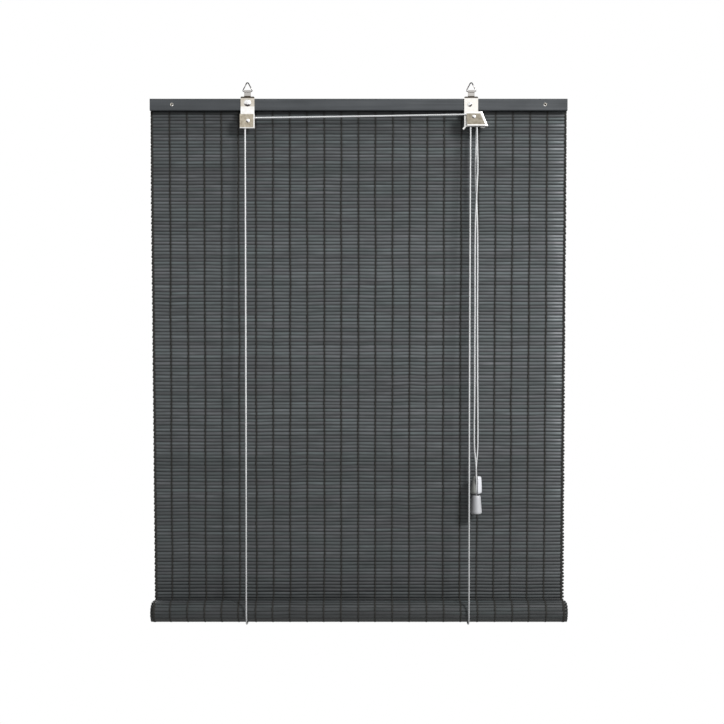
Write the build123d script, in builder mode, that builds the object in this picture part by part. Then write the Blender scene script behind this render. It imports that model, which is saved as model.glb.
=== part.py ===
from build123d import *
from math import atan2, cos, degrees, pi, sin, tan
import os

# A roll-up blind of painted bamboo slats on a head rail, let down, with its last turns rolled up.
# X runs along the rail, Z is up and +Y points to the wall. Millimetres.
# The origin lies midway between the rail's two screw holes, on the batten's wall side.

# Head rail and the batten behind it
blind_width = 600.0
rail_height = 17.0
rail_thickness = 8.0
rail_edge_radius = 1.4
batten_thickness = 5.0
mat_inset = 2.0
batten_edge_radius = 0.8
screw_hole_spacing = 536.0
screw_hole_diameter = 4.4

# Nails that clamp the mat between rail and batten
nail_diameter = 1.6
nail_head_diameter = 4.0
nail_head_thickness = 0.8
nail_grip = 5.0
nail_end_inset = 15.0
nail_spacings = (140.0, 410.0, blind_width - 2 * nail_end_inset)

# Slats of the mat
slat_thickness = 3.0
slat_height = 4.3
slat_gap = 0.54
slat_bevel = 0.9
gap_opening = 0.7
edge_web_width = 5.0
closed_joint_every = 4
mat_top_margin = 1.5
drop = 728.0

# Warp threads, in front of and behind the slats
warp_count = 25
warp_inset = 2.8
warp_width = 1.2
warp_thickness = 0.4
warp_end_margin = 8.0

# Rolled end of the mat
roll_radius = 16.6
turn_gap = 0.3
roll_seam = 0.3
rod_diameter = 8.0
rod_inset = 1.0

# Cords
cord_diameter = 2.2
cord_joint = 0.1
corner_share = 0.45
sling_clearance = 0.8
left_sling_x = -160.5
right_sling_x = 157.5
cord_hole_clearance = 0.4
knot_radius = 2.3
knot_sink = 0.55

# Brackets: folded sheet with a ring knuckle, a plate and a housing
sheet = 1.0
plate_width = 19.8
plate_shoulder_z = 11.2
plate_corner_radius = 1.6
tab_width = 9.6
ring_axis_z = 18.6
ring_wire_diameter = 1.6
running_clearance = 0.1
side_clearance = 0.4
fold_radius = 1.8

# Triangular hanging rings
ring_apex_z = 31.6
ring_half_width = 8.2
ring_corner_radius = 1.3
ring_apex_half = 1.1
ring_apex_radius = 1.5

# Pulley wheels and their riveted pins
wheel_pitch_radius = 4.5
wheel_flange_radius = 5.9
wheel_width = 4.6
wheel_gap = 0.3
groove_clearance = 0.3
pin_diameter = 2.5
pin_fit = 0.05
pin_head_radius = 2.75
pin_head_height = 1.2
rivet_head_radius = 2.2
rivet_head_height = 0.8

# Left bracket
left_plate_x = -159.4
left_pin_x = -158.35
left_pin_z = -24.3
left_housing_width = 21.0
left_housing_top_z = -14.6
left_housing_bottom_z = -35.4
side_lip_depth = 3.2
cord_slot_radius = 2.0
cord_slot_depth = 3.0

# Right bracket with the cord lock
right_plate_x = 161.6
right_pin_x = 164.6
right_pin_z = -19.2
lock_top_z = -11.8
lock_bottom_z = -32.0
lock_left_top_x = 153.6
lock_left_bottom_x = 155.2
lock_right_top_x = 176.4
lock_right_bottom_x = 186.2
lock_fold_top = 1.6
lock_fold_bottom = 4.8
lock_lip_depth = 2.0
lock_lip_height = 1.0
tooth_length = 5.6
tooth_width = 2.4
tooth_lean = 40.0
tooth_corner_radius = 0.6
cord_exit_drop = 1.0

# Lock roller, which jams the cords as it climbs its slanted slot
roller_radius = 5.0
roller_x = 177.7
roller_z = -30.2
roller_travel = 4.5
roller_teeth = 20
roller_tooth_depth = 0.35
slot_clearance = 0.1
slot_end_clearance = 0.3
lock_head_gap = 0.3

# Bracket screws
screw_head_radius = 5.2
screw_head_height = 2.4
screw_shank_diameter = 3.4
screw_length = 6.5
screw_tip_radius = 0.85
screw_tip_length = 3.4
screw_recess_width = 0.9
screw_recess_depth = 1.0
left_screw_z = 2.2
right_screw_x = 159.6
right_screw_head_radius = 3.4
right_screw_z = 0.0

# Tassel: a clip in two halves above a bell
tassel_x = 169.05
clip_top_z = -533.5
clip_height = 25.6
clip_left_top_radius = 4.6
clip_right_top_radius = 7.4
clip_bottom_radius = 8.2
clip_edge_radius = 2.2
clip_groove = 2.8
peg_diameter = 2.0
peg_length = 4.0
peg_offset = 5.0
peg_clearance = 0.15
upper_peg_drop = 7.68
lower_peg_drop = 17.92
bell_gap = 2.2
bell_height = 27.0
bell_top_radius = 6.4
bell_bottom_radius = 8.3
bell_wall = 1.5
bell_edge_radius = 1.2
bell_lip_radius = 0.5
bell_hole_clearance = 0.3
tassel_cord_spacing = 2.6
tassel_knot_radius = 4.2
tassel_knot_drop = 3.36

# Heights and depths that follow from those sizes
cord_radius = cord_diameter / 2
rail_half = rail_height / 2
mat_width = blind_width - 2 * mat_inset
warp_pitch = (mat_width - 2 * warp_inset) / (warp_count - 1)
mat_back_y = -batten_thickness
mat_mid_y = mat_back_y - slat_thickness / 2
mat_front_y = mat_back_y - slat_thickness
rail_front_y = mat_front_y - rail_thickness
mat_top_z = rail_half - mat_top_margin
roll_axis_z = -drop
roll_mid_radius = roll_radius - slat_thickness / 2
roll_axis_y = mat_mid_y - roll_mid_radius
mat_bottom_z = roll_axis_z + roll_seam
slat_count = round((mat_top_z - mat_bottom_z) / (slat_height + slat_gap))
slat_pitch = (mat_top_z - mat_bottom_z) / slat_count
sling_radius = roll_radius + sling_clearance + cord_radius
sling_back_y = roll_axis_y + sling_radius
sling_front_y = roll_axis_y - sling_radius
batten_mid_y = -batten_thickness / 2
ring_axis_y = rail_front_y - sheet / 2
knuckle_bore = ring_wire_diameter / 2 + running_clearance
knuckle_radius = knuckle_bore + sheet
rear_wheel_y = rail_front_y - sheet - side_clearance - wheel_width / 2
front_wheel_y = rear_wheel_y - wheel_width - wheel_gap
left_front_y = rear_wheel_y - wheel_width / 2 - side_clearance - sheet
right_front_y = front_wheel_y - wheel_width / 2 - side_clearance - sheet
cord_exit_z = lock_bottom_z - cord_exit_drop
groove_radius = cord_radius + groove_clearance
pull_x = right_pin_x + wheel_pitch_radius
tassel_y = (rear_wheel_y + front_wheel_y) / 2
clip_bottom_z = clip_top_z - clip_height
bell_top_z = clip_bottom_z - bell_gap
bell_bottom_z = bell_top_z - bell_height

os.makedirs("parts", exist_ok=True)


def finish(piece, name):
    """Label a finished piece and write it."""
    piece.part.label = name
    export_step(piece.part, f"parts/{name}.step")


def cord_tube(route):
    """Sweep the cord's round section along a route, in the part being built."""
    with BuildSketch(Plane(origin=route @ 0, z_dir=route % 0)) as section:
        Circle(cord_radius)
    sweep(section.sketch, path=route)


def dome_radius(half_width, height):
    """Radius of the sphere that a domed head of this half width and height is cut from."""
    return (half_width**2 + height**2) / (2 * height)


def slat_side(y, z, angle, face):
    """Corner points of a bevelled slat on its outer (1) or inner (-1) face, in the YZ plane."""
    half_thickness = slat_thickness / 2
    half_height = slat_height / 2
    corners = (
        (half_thickness - slat_bevel, half_height),
        (half_thickness, half_height - slat_bevel),
        (half_thickness, slat_bevel - half_height),
        (half_thickness - slat_bevel, -half_height),
    )
    return [
        (
            y + face * across * cos(angle) + along * sin(angle),
            z - face * across * sin(angle) + along * cos(angle),
        )
        for across, along in corners
    ]


def ridged_face(stations):
    """A row of bevelled slats joined by webs, from (y, z, angle) stations, in the open sketch."""
    outer = [point for station in stations for point in slat_side(*station, 1)]
    inner = [point for station in stations for point in slat_side(*station, -1)]
    with BuildLine() as outline:
        Polyline(*outer, *reversed(inner), close=True)
    make_face(outline.line)


# Head rail: a painted batten with rounded edges and two screw holes
with BuildPart() as head_rail:
    with BuildSketch(Plane.YZ):
        with Locations(((mat_front_y + rail_front_y) / 2, 0)):
            RectangleRounded(rail_thickness, rail_height, rail_edge_radius)
    extrude(amount=blind_width / 2, both=True)
    with BuildSketch(Plane.XZ.offset(-mat_front_y)):
        with GridLocations(screw_hole_spacing, 0, 2, 1):
            Circle(screw_hole_diameter / 2)
        with Locations((left_plate_x, left_screw_z), (right_screw_x, right_screw_z)):
            Circle(screw_shank_diameter / 2 + pin_fit)
    extrude(amount=rail_thickness, mode=Mode.SUBTRACT)
    with BuildSketch(Plane.XZ.offset(-mat_front_y)):
        for spacing in nail_spacings:
            with GridLocations(spacing, 0, 2, 1):
                Circle(nail_diameter / 2 + pin_fit)
    extrude(amount=nail_grip + pin_fit, mode=Mode.SUBTRACT)
finish(head_rail, "head_rail")

# Rear batten: holes for screws and countersunk nails, and two upright holes for the cords' ends
with BuildPart() as rear_batten:
    with BuildSketch(Plane.YZ):
        with Locations((batten_mid_y, 0)):
            RectangleRounded(batten_thickness, rail_height, batten_edge_radius)
    extrude(amount=mat_width / 2, both=True)
    with BuildSketch(Plane.XZ):
        with GridLocations(screw_hole_spacing, 0, 2, 1):
            Circle(screw_hole_diameter / 2)
        for spacing in nail_spacings:
            with GridLocations(spacing, 0, 2, 1):
                Circle(nail_diameter / 2 + pin_fit)
    extrude(amount=batten_thickness, mode=Mode.SUBTRACT)
    with BuildSketch(Plane.XZ):
        for spacing in nail_spacings:
            with GridLocations(spacing, 0, 2, 1):
                Circle(nail_head_diameter / 2 + pin_fit)
    extrude(amount=nail_head_thickness + pin_fit, mode=Mode.SUBTRACT)
    with BuildSketch(Plane.XY.offset(-rail_half)):
        with Locations((left_sling_x, batten_mid_y), (right_sling_x, batten_mid_y)):
            Circle(cord_radius + cord_hole_clearance)
    extrude(amount=rail_height, mode=Mode.SUBTRACT)
finish(rear_batten, "rear_batten")

# Clamp nails: flat heads let into the batten's back
with BuildPart() as clamp_nails:
    for spacing in nail_spacings:
        with BuildSketch(Plane.XZ):
            with GridLocations(spacing, 0, 2, 1):
                Circle(nail_head_diameter / 2)
        extrude(amount=nail_head_thickness)
        with BuildSketch(Plane.XZ):
            with GridLocations(spacing, 0, 2, 1):
                Circle(nail_diameter / 2)
        extrude(amount=batten_thickness + slat_thickness + nail_grip)
finish(clamp_nails, "clamp_nails")

# Hanging mat: ridges in one wall, open gaps between most of them, closed strips at the sides
slat_heights = [mat_top_z - slat_pitch * (i + 0.5) for i in range(slat_count)]
joint_heights = [mat_top_z - slat_pitch * i for i in range(1, slat_count)]
open_joints = [
    z for i, z in enumerate(joint_heights) if z < -rail_half and i % closed_joint_every
]
with BuildPart() as slat_mat:
    with BuildSketch(Plane.YZ):
        ridged_face([(mat_mid_y, z, 0) for z in slat_heights])
    extrude(amount=mat_width / 2, both=True)
    with BuildSketch(Plane.XZ.offset(-mat_back_y)):
        with Locations(*[(0, z) for z in open_joints]):
            Rectangle(mat_width - 2 * edge_web_width, gap_opening)
        with GridLocations(screw_hole_spacing, 0, 2, 1):
            Circle(screw_hole_diameter / 2)
        for spacing in nail_spacings:
            with GridLocations(spacing, 0, 2, 1):
                Circle(nail_diameter / 2 + pin_fit)
    extrude(amount=slat_thickness, mode=Mode.SUBTRACT)
finish(slat_mat, "slat_mat")

# Warp threads: a strip over the slats for each stitch line, in front of and behind the mat
warp_top_z = -rail_half
warp_bottom_z = roll_axis_z + warp_end_margin
warp_faces = (("warp_threads_front", mat_front_y), ("warp_threads_back", mat_back_y + warp_thickness))
for name, face_y in warp_faces:
    with BuildPart() as warp_threads:
        with BuildSketch(Plane.XZ.offset(-face_y)):
            with Locations((0, (warp_top_z + warp_bottom_z) / 2)):
                with GridLocations(warp_pitch, 0, warp_count, 1):
                    Rectangle(warp_width, warp_top_z - warp_bottom_z)
        extrude(amount=warp_thickness)
    finish(warp_threads, name)

# Roll: the mat's last slats along a spiral that starts where the hanging mat ends
turn_pitch = slat_thickness + turn_gap
innermost = rod_diameter / 2 + turn_gap + slat_thickness / 2
spiral_angles = []
angle = (slat_height / 2 + roll_seam) / roll_mid_radius
while roll_mid_radius - turn_pitch * angle / (2 * pi) > innermost:
    spiral_angles.append(angle)
    angle += slat_pitch / (roll_mid_radius - turn_pitch * angle / (2 * pi))


def spiral_point(angle):
    """The middle of the rolled mat at an angle below the wall side, in the YZ plane."""
    radius = roll_mid_radius - turn_pitch * angle / (2 * pi)
    return roll_axis_y + radius * cos(angle), roll_axis_z - radius * sin(angle)


with BuildPart() as slat_roll:
    with BuildSketch(Plane.YZ):
        ridged_face([(*spiral_point(angle), angle) for angle in spiral_angles])
    extrude(amount=mat_width / 2, both=True)
finish(slat_roll, "slat_roll")

# Rod that the mat's end is rolled around
with BuildPart() as bottom_rod:
    with BuildSketch(Plane.YZ):
        with Locations((roll_axis_y, roll_axis_z)):
            Circle(rod_diameter / 2)
    extrude(amount=mat_width / 2 - rod_inset, both=True)
finish(bottom_rod, "bottom_rod")


def bracket_top(plate_x, plate_bottom_z, screw_x, screw_z):
    """Plate, shoulders, neck and ring knuckle of a bracket, in the part being built."""
    with BuildSketch(Plane.XZ.offset(-rail_front_y)) as plate:
        with Locations((plate_x, (plate_shoulder_z + plate_bottom_z) / 2)):
            Rectangle(plate_width, plate_shoulder_z - plate_bottom_z)
        fillet(plate.vertices().group_by(Axis.Z)[-1], radius=plate_corner_radius)
        neck_bottom_z = plate_shoulder_z - plate_corner_radius
        with Locations((plate_x, (ring_axis_z + neck_bottom_z) / 2)):
            Rectangle(tab_width, ring_axis_z - neck_bottom_z)
        with Locations((screw_x, screw_z)):
            Circle(screw_shank_diameter / 2 + pin_fit, mode=Mode.SUBTRACT)
    extrude(plate.sketch, amount=sheet)
    with BuildSketch(Plane.YZ.offset(plate_x)) as knuckle:
        with Locations((ring_axis_y, ring_axis_z)):
            Circle(knuckle_radius)
    extrude(knuckle.sketch, amount=tab_width / 2, both=True)
    with BuildSketch(Plane.YZ.offset(plate_x)) as bore:
        with Locations((ring_axis_y, ring_axis_z)):
            Circle(knuckle_bore)
    extrude(bore.sketch, amount=tab_width, both=True, mode=Mode.SUBTRACT)


def pin_holes(pin_x, pin_z):
    """A hole through both cheeks for a riveted pin, in the part being built."""
    with BuildSketch(Plane.XZ.offset(-rail_front_y)) as hole:
        with Locations((pin_x, pin_z)):
            Circle(pin_diameter / 2 + pin_fit)
    extrude(hole.sketch, amount=rail_front_y - right_front_y, mode=Mode.SUBTRACT)


# Left bracket: the sheet runs down behind the pulley, folds forward and comes up again in front of it
left_cord_x = left_pin_x - wheel_pitch_radius
housing_half = left_housing_width / 2
with BuildPart() as left_bracket:
    bracket_top(left_plate_x, left_housing_top_z, left_plate_x, left_screw_z)
    with BuildSketch(Plane.YZ.offset(left_plate_x)):
        with BuildLine() as fold:
            FilletPolyline(
                (rail_front_y - sheet / 2, left_housing_top_z),
                (rail_front_y - sheet / 2, left_housing_bottom_z + sheet / 2),
                (left_front_y + sheet / 2, left_housing_bottom_z + sheet / 2),
                (left_front_y + sheet / 2, left_housing_top_z),
                radius=fold_radius,
            )
        trace(fold.line, line_width=sheet)
    extrude(amount=housing_half, both=True)
    # Lip folded back along the front cheek's right edge, below the cross cord
    lip_top_z = left_pin_z + wheel_pitch_radius - cord_radius - side_clearance
    lip_bottom_z = left_housing_bottom_z + sheet + fold_radius
    with BuildSketch(Plane.YZ.offset(left_plate_x + housing_half - sheet)):
        with Locations((left_front_y + side_lip_depth / 2, (lip_top_z + lip_bottom_z) / 2)):
            Rectangle(side_lip_depth, lip_top_z - lip_bottom_z)
    extrude(amount=sheet)
    # Slot in the bottom fold for the lift cord
    with BuildSketch(Plane.XY.offset(left_housing_bottom_z - sheet)):
        with Locations((left_cord_x, rear_wheel_y)):
            Circle(cord_slot_radius)
    extrude(amount=cord_slot_depth, mode=Mode.SUBTRACT)
    pin_holes(left_pin_x, left_pin_z)
finish(left_bracket, "left_bracket")


def lock_section(left_x, right_x, fold, wall):
    """The lock housing's level section, its front corner folded by the given radius."""
    back_y = rail_front_y - wall
    front_y = right_front_y + wall
    with BuildLine() as outline:
        FilletPolyline(
            (left_x, back_y),
            (right_x - wall, back_y),
            (right_x - wall, front_y),
            (left_x, front_y),
            radius=(0, 0, fold - wall, 0),
            close=True,
        )
    make_face(outline.line)


# Right bracket: plate and cheeks in one, wrapped round the slanted side by a fold that widens downwards
roller_slant = atan2(lock_right_bottom_x - lock_right_top_x, lock_top_z - lock_bottom_z)
slot_half = pin_diameter / 2 + slot_clearance
with BuildPart() as right_bracket:
    with BuildSketch(Plane.XY.offset(lock_top_z)):
        lock_section(lock_left_top_x, lock_right_top_x, lock_fold_top, 0)
    with BuildSketch(Plane.XY.offset(lock_bottom_z)):
        lock_section(lock_left_bottom_x, lock_right_bottom_x, lock_fold_bottom, 0)
    loft(ruled=True)
    with BuildSketch(Plane.XY.offset(lock_top_z)):
        lock_section(lock_left_top_x - sheet, lock_right_top_x, lock_fold_top, sheet)
    with BuildSketch(Plane.XY.offset(lock_bottom_z)):
        lock_section(lock_left_bottom_x - sheet, lock_right_bottom_x, lock_fold_bottom, sheet)
    loft(ruled=True, mode=Mode.SUBTRACT)
    bracket_top(right_plate_x, lock_bottom_z, right_screw_x, right_screw_z)
    # Lip along the front cheek's bottom edge, up to where the fold begins
    lip_length = lock_right_bottom_x - lock_fold_bottom - lock_left_bottom_x
    with BuildSketch(Plane.XZ.offset(-right_front_y - lock_lip_depth)):
        with Locations((lock_left_bottom_x + lip_length / 2, lock_bottom_z + lock_lip_height / 2)):
            Rectangle(lip_length, lock_lip_height)
    extrude(amount=lock_lip_depth)
    # Slanted slot for the roller's axle in the rear cheek
    slot_length = roller_travel + pin_diameter + 2 * slot_end_clearance
    slot_middle = roller_travel / 2
    with BuildSketch(Plane.XZ.offset(-rail_front_y)):
        slot_x = roller_x - slot_middle * sin(roller_slant)
        slot_z = roller_z + slot_middle * cos(roller_slant)
        with Locations(Location((slot_x, slot_z, 0), (0, 0, 90 + degrees(roller_slant)))):
            SlotOverall(slot_length, 2 * slot_half)
    extrude(amount=sheet, mode=Mode.SUBTRACT)
    # Bent tooth at the rear cheek's lower left corner
    with BuildSketch(Plane.XZ.offset(-rail_front_y)):
        tooth_x = right_plate_x - plate_width / 2 + tooth_width / 2
        with Locations(Location((tooth_x, lock_bottom_z, 0), (0, 0, -tooth_lean))):
            with Locations((0, -tooth_length / 2 + sheet)):
                RectangleRounded(tooth_width, tooth_length, tooth_corner_radius)
    extrude(amount=sheet)
    pin_holes(right_pin_x, right_pin_z)
finish(right_bracket, "right_bracket")

# Hanging rings: closed wire triangles, their base held in the knuckles
for side, plate_x in (("left", left_plate_x), ("right", right_plate_x)):
    wire_radius = ring_wire_diameter / 2
    with BuildPart() as ring:
        with BuildLine(Plane.XZ.offset(-ring_axis_y)) as wire:
            FilletPolyline(
                (plate_x, ring_axis_z),
                (plate_x + ring_half_width - wire_radius, ring_axis_z),
                (plate_x + ring_apex_half, ring_apex_z - wire_radius),
                (plate_x, ring_apex_z - wire_radius),
                radius=(ring_corner_radius, ring_apex_radius),
            )
        with BuildSketch(Plane(origin=wire.line @ 0, z_dir=wire.line % 0)):
            Circle(wire_radius)
        sweep(path=wire.line)
        mirror(about=Plane.YZ.offset(plate_x))
    finish(ring, f"{side}_ring")


def wheel(name, wheel_x, wheel_y, wheel_z):
    """A grooved pulley wheel that turns about Y."""
    with BuildPart() as pulley:
        with BuildSketch(Plane.XZ.offset(-wheel_y)) as disc:
            with Locations((wheel_x, wheel_z)):
                Circle(wheel_flange_radius)
                Circle(pin_diameter / 2 + pin_fit, mode=Mode.SUBTRACT)
        extrude(disc.sketch, amount=wheel_width / 2, both=True)
        with BuildSketch(Plane.YZ.offset(wheel_x)) as groove:
            with Locations((wheel_y, wheel_z + wheel_pitch_radius)):
                Circle(groove_radius)
            with Locations((wheel_y, wheel_z + wheel_pitch_radius + groove_radius)):
                Rectangle(2 * groove_radius, 2 * groove_radius)
        wheel_axis = Axis((wheel_x, wheel_y, wheel_z), (0, 1, 0))
        revolve(groove.sketch, axis=wheel_axis, mode=Mode.SUBTRACT)
    finish(pulley, name)


wheel("left_pulley_wheel", left_pin_x, rear_wheel_y, left_pin_z)
wheel("right_pulley_wheel_rear", right_pin_x, rear_wheel_y, right_pin_z)
wheel("right_pulley_wheel_front", right_pin_x, front_wheel_y, right_pin_z)


def riveted_pin(name, pin_x, pin_z, front_y):
    """A pin through both cheeks, with a domed head in front and a flat one behind."""
    with BuildPart() as pin:
        with BuildSketch(Plane.YZ.offset(pin_x)) as half:
            with BuildLine():
                Polyline(
                    (front_y - pin_head_height, pin_z),
                    (rail_front_y + rivet_head_height, pin_z),
                    (rail_front_y + rivet_head_height, pin_z + rivet_head_radius),
                    (rail_front_y, pin_z + rivet_head_radius),
                    (rail_front_y, pin_z + pin_diameter / 2),
                    (front_y, pin_z + pin_diameter / 2),
                    (front_y, pin_z + pin_head_radius),
                )
                RadiusArc(
                    (front_y, pin_z + pin_head_radius),
                    (front_y - pin_head_height, pin_z),
                    -dome_radius(pin_head_radius, pin_head_height),
                )
            make_face()
        revolve(half.sketch, axis=Axis((pin_x, 0, pin_z), (0, 1, 0)))
    finish(pin, name)


riveted_pin("left_pulley_pin", left_pin_x, left_pin_z, left_front_y)
riveted_pin("right_pulley_pin", right_pin_x, right_pin_z, right_front_y)

# Lock roller: a toothed cylinder with a bore
roller_back_y = rail_front_y - sheet - side_clearance
roller_front_y = right_front_y + lock_lip_depth + side_clearance
with BuildPart() as lock_roller:
    with BuildSketch(Plane.XZ.offset(-roller_back_y)):
        with Locations((roller_x, roller_z)):
            Circle(roller_radius)
            Circle(pin_diameter / 2 + pin_fit, mode=Mode.SUBTRACT)
            with PolarLocations(roller_radius, roller_teeth):
                Circle(roller_tooth_depth, mode=Mode.SUBTRACT)
    extrude(amount=roller_back_y - roller_front_y)
finish(lock_roller, "lock_roller")

# Lock pin: its head lies behind the rear cheek, its shaft carries the roller
with BuildPart() as lock_pin:
    with BuildSketch(Plane.XZ.offset(-rail_front_y - lock_head_gap - rivet_head_height)):
        with Locations((roller_x, roller_z)):
            Circle(rivet_head_radius)
    extrude(amount=rivet_head_height)
    with BuildSketch(Plane.XZ.offset(-rail_front_y - lock_head_gap)):
        with Locations((roller_x, roller_z)):
            Circle(pin_diameter / 2)
    extrude(amount=rail_front_y + lock_head_gap - roller_front_y)
finish(lock_pin, "lock_pin")


def bracket_screw(name, screw_x, screw_z, head_radius):
    """A dome-headed screw with a cross recess, from a bracket's plate into the rail."""
    seat_y = rail_front_y - sheet
    with BuildPart() as screw:
        with BuildSketch(Plane.YZ.offset(screw_x)) as half:
            with BuildLine():
                Polyline(
                    (seat_y - screw_head_height, screw_z),
                    (rail_front_y + screw_length, screw_z),
                    (rail_front_y + screw_length, screw_z + screw_tip_radius),
                    (rail_front_y + screw_length - screw_tip_length, screw_z + screw_shank_diameter / 2),
                    (seat_y, screw_z + screw_shank_diameter / 2),
                    (seat_y, screw_z + head_radius),
                )
                RadiusArc(
                    (seat_y, screw_z + head_radius),
                    (seat_y - screw_head_height, screw_z),
                    -dome_radius(head_radius, screw_head_height),
                )
            make_face()
        revolve(half.sketch, axis=Axis((screw_x, 0, screw_z), (0, 1, 0)))
        with BuildSketch(Plane.XZ.offset(-seat_y + screw_head_height - screw_recess_depth)) as recess:
            with Locations((screw_x, screw_z)):
                Rectangle(head_radius, screw_recess_width)
                Rectangle(screw_recess_width, head_radius)
        extrude(recess.sketch, amount=screw_recess_depth, mode=Mode.SUBTRACT)
    finish(screw, name)


bracket_screw("left_bracket_screw", left_plate_x, left_screw_z, screw_head_radius)
bracket_screw("right_bracket_screw", right_screw_x, right_screw_z, right_screw_head_radius)


def lift_cord(side, sling_x, top_x, wheel_y, wheel_z):
    """A lift cord: up behind the mat, round under the roll, and up in front to its wheel."""
    with BuildPart() as back:
        with BuildLine() as route:
            Line((sling_x, sling_back_y, roll_axis_z + cord_joint), (sling_x, batten_mid_y, rail_half))
        cord_tube(route.line)
    finish(back, f"{side}_lift_back")
    with BuildPart() as bight:
        with BuildLine(Plane.YZ.offset(sling_x)) as route:
            CenterArc((roll_axis_y, roll_axis_z), sling_radius, 180, 180)
        cord_tube(route.line)
    finish(bight, f"{side}_lift_bight")
    with BuildPart() as front:
        with BuildLine() as route:
            Line((sling_x, sling_front_y, roll_axis_z + cord_joint), (top_x, wheel_y, wheel_z - cord_joint))
        cord_tube(route.line)
    finish(front, f"{side}_lift_front")
    # Knot that holds the cord's end on top of the batten
    with BuildPart() as knot:
        with Locations((sling_x, batten_mid_y, rail_half + knot_radius - knot_sink)):
            Sphere(knot_radius)
        split(bisect_by=Plane.XY.offset(rail_half), keep=Keep.TOP)
    finish(knot, f"{side}_cord_knot")


right_cord_x = right_pin_x - wheel_pitch_radius
lift_cord("left", left_sling_x, left_cord_x, rear_wheel_y, left_pin_z)
lift_cord("right", right_sling_x, right_cord_x, front_wheel_y, right_pin_z)

# Cross cord: over the left wheel, across to the rear wheel on the right and down out of the lock
cross_slope = (right_pin_z - left_pin_z) / (right_pin_x - left_pin_x)
cross_slant = atan2(right_pin_z - left_pin_z, right_pin_x - left_pin_x)
cross_rise = wheel_pitch_radius / cos(cross_slant)
left_corner_z = left_pin_z + cross_rise - cross_slope * wheel_pitch_radius
right_corner_z = right_pin_z + cross_rise + cross_slope * wheel_pitch_radius
with BuildPart() as cross_cord:
    with BuildLine(Plane.XZ.offset(-rear_wheel_y)) as route:
        FilletPolyline(
            (left_cord_x, left_pin_z),
            (left_cord_x, left_corner_z),
            (pull_x, right_corner_z),
            (pull_x, cord_exit_z),
            radius=wheel_pitch_radius,
        )
    cord_tube(route.line)
finish(cross_cord, "cross_cord")

# Right lift cord's turn over the front wheel and down out of the lock
with BuildPart() as right_wrap_cord:
    with BuildLine(Plane.XZ.offset(-front_wheel_y)) as route:
        CenterArc((right_pin_x, right_pin_z), wheel_pitch_radius, 180, -180)
        Line((pull_x, right_pin_z), (pull_x, cord_exit_z))
    cord_tube(route.line)
finish(right_wrap_cord, "right_wrap_cord")

# Pull cords from the lock to the clip: they part, cross once and come together again
rear_route = (
    (pull_x, rear_wheel_y, cord_exit_z - cord_joint),
    (168.4, -19.6, -62.0),
    (166.9, -19.9, -92.0),
    (168.4, -20.3, -124.0),
    (170.5, -20.6, -170.0),
    (170.8, -20.8, -230.0),
    (170.5, -20.8, -290.0),
    (170.8, -20.9, -350.0),
    (170.6, -20.9, -410.0),
    (169.9, -20.9, -465.0),
    (tassel_x, tassel_y + tassel_cord_spacing / 2, -505.0),
    (tassel_x, tassel_y + tassel_cord_spacing / 2, clip_top_z),
)
front_route = (
    (pull_x, front_wheel_y, cord_exit_z - cord_joint),
    (169.9, -24.7, -62.0),
    (170.6, -24.4, -92.0),
    (169.2, -24.0, -124.0),
    (167.0, -23.8, -170.0),
    (166.5, -23.6, -230.0),
    (166.8, -23.5, -290.0),
    (166.4, -23.5, -350.0),
    (166.9, -23.4, -410.0),
    (168.2, -23.4, -465.0),
    (168.75, tassel_y - tassel_cord_spacing / 2, -505.0),
    (tassel_x, tassel_y - tassel_cord_spacing / 2, clip_top_z),
)


def corner_radii(points):
    """Each corner's arc: a share of the shorter run over the tangent of half the turn."""
    corners = [Vector(*point) for point in points]
    radii = []
    for before, here, after in zip(corners, corners[1:], corners[2:]):
        half_turn = (here - before).get_angle(after - here) / 2
        shorter_run = min((here - before).length, (after - here).length)
        radii.append(corner_share * shorter_run / tan(half_turn * pi / 180))
    return radii


for name, points in (("pull_cord_rear", rear_route), ("pull_cord_front", front_route)):
    radii = corner_radii(points)
    print(name, "arc radii", [round(radius) for radius in radii])
    with BuildPart() as pull_cord:
        with BuildLine() as route:
            FilletPolyline(*points, radius=radii)
        cord_tube(route.line)
    finish(pull_cord, name)

# Clip halves: each half a barrel with its own taper, and a groove for the cords between them
groove_half = clip_groove / 2
for side, sign, top_radius in (("left", -1, clip_left_top_radius), ("right", 1, clip_right_top_radius)):
    with BuildPart() as clip_half:
        with BuildSketch(Plane.XZ.offset(-tassel_y)):
            with BuildLine():
                FilletPolyline(
                    (tassel_x, clip_top_z),
                    (tassel_x + sign * top_radius, clip_top_z),
                    (tassel_x + sign * clip_bottom_radius, clip_bottom_z),
                    (tassel_x, clip_bottom_z),
                    radius=(0, clip_edge_radius, clip_edge_radius, 0),
                    close=True,
                )
            make_face()
        revolve(axis=Axis((tassel_x, tassel_y, 0), (0, 0, 1)))
        cut_plane = Plane.YZ.offset(tassel_x + sign * groove_half)
        split(bisect_by=cut_plane, keep=Keep.TOP if sign > 0 else Keep.BOTTOM)
        peg_heights = (clip_top_z - upper_peg_drop, clip_top_z - lower_peg_drop)
        peg_places = [(tassel_y + peg_offset, peg_z) for peg_z in peg_heights]
        with BuildSketch(Plane.YZ.offset(tassel_x - groove_half)):
            with Locations(*peg_places):
                Circle(peg_diameter / 2 if sign < 0 else peg_diameter / 2 + peg_clearance)
        if sign < 0:
            extrude(amount=clip_groove + peg_length)
        else:
            extrude(amount=clip_groove + peg_length + peg_clearance, mode=Mode.SUBTRACT)
    finish(clip_half, f"clip_half_{side}")

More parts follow.
